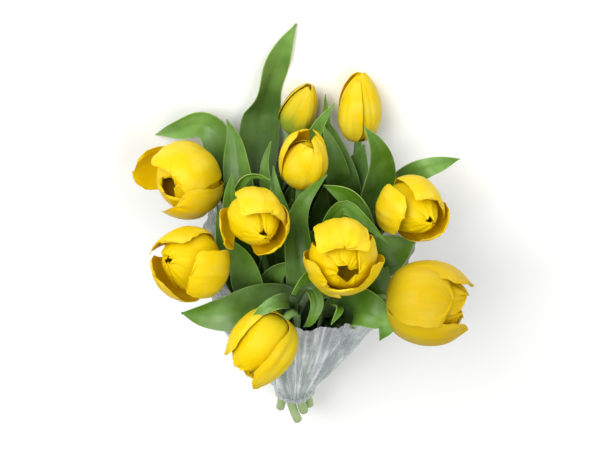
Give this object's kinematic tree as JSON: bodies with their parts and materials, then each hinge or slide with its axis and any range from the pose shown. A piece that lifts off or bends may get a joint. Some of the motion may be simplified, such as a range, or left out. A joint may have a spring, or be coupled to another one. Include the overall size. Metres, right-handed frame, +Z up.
{
  "type": "bunch of tulips",
  "caption": "Bunch of yellow tulips with long green leaves, gathered in a translucent film sleeve that is taped round the stems, lying on its side.",
  "frame": {"origin": "centre of the box's underside, on the table under the lying bunch", "axes": "+Y along the lying bunch from the cut stems to the blooms, +Z up, +X to the right when looking along +Y"},
  "size_m": [0.2964, 0.4428, 0.2388],
  "materials": {
    "petal": "satin yellow tulip petal",
    "leaf": "waxy green leaf and pale green stem",
    "stamen": "powdery dark purple anthers round a yellow-green pistil",
    "film": "thin creased translucent plastic film",
    "tape": "translucent adhesive tape"
  },
  "bodies": {
    "root": {"bloom_a": "petal", "bloom_b": "petal", "bloom_c": "petal", "bloom_d": "petal", "bloom_e": "petal", "bloom_f": "petal", "bloom_g": "petal", "bloom_h": "petal", "bloom_i": "petal", "bloom_j": "petal", "stem_a": "leaf", "stem_b": "leaf", "stem_c": "leaf", "stem_d": "leaf", "stem_e": "leaf", "stem_f": "leaf", "stem_g": "leaf", "stem_h": "leaf", "stem_i": "leaf", "stem_j": "leaf", "stamens_d": "stamen", "stamens_e": "stamen", "stamens_g": "stamen", "stamens_h": "stamen", "stamens_i": "stamen", "sleeve": "film", "tie": "tape", "stamens_f": "stamen", "stamens_j": "stamen"}
  },
  "joints": []
}
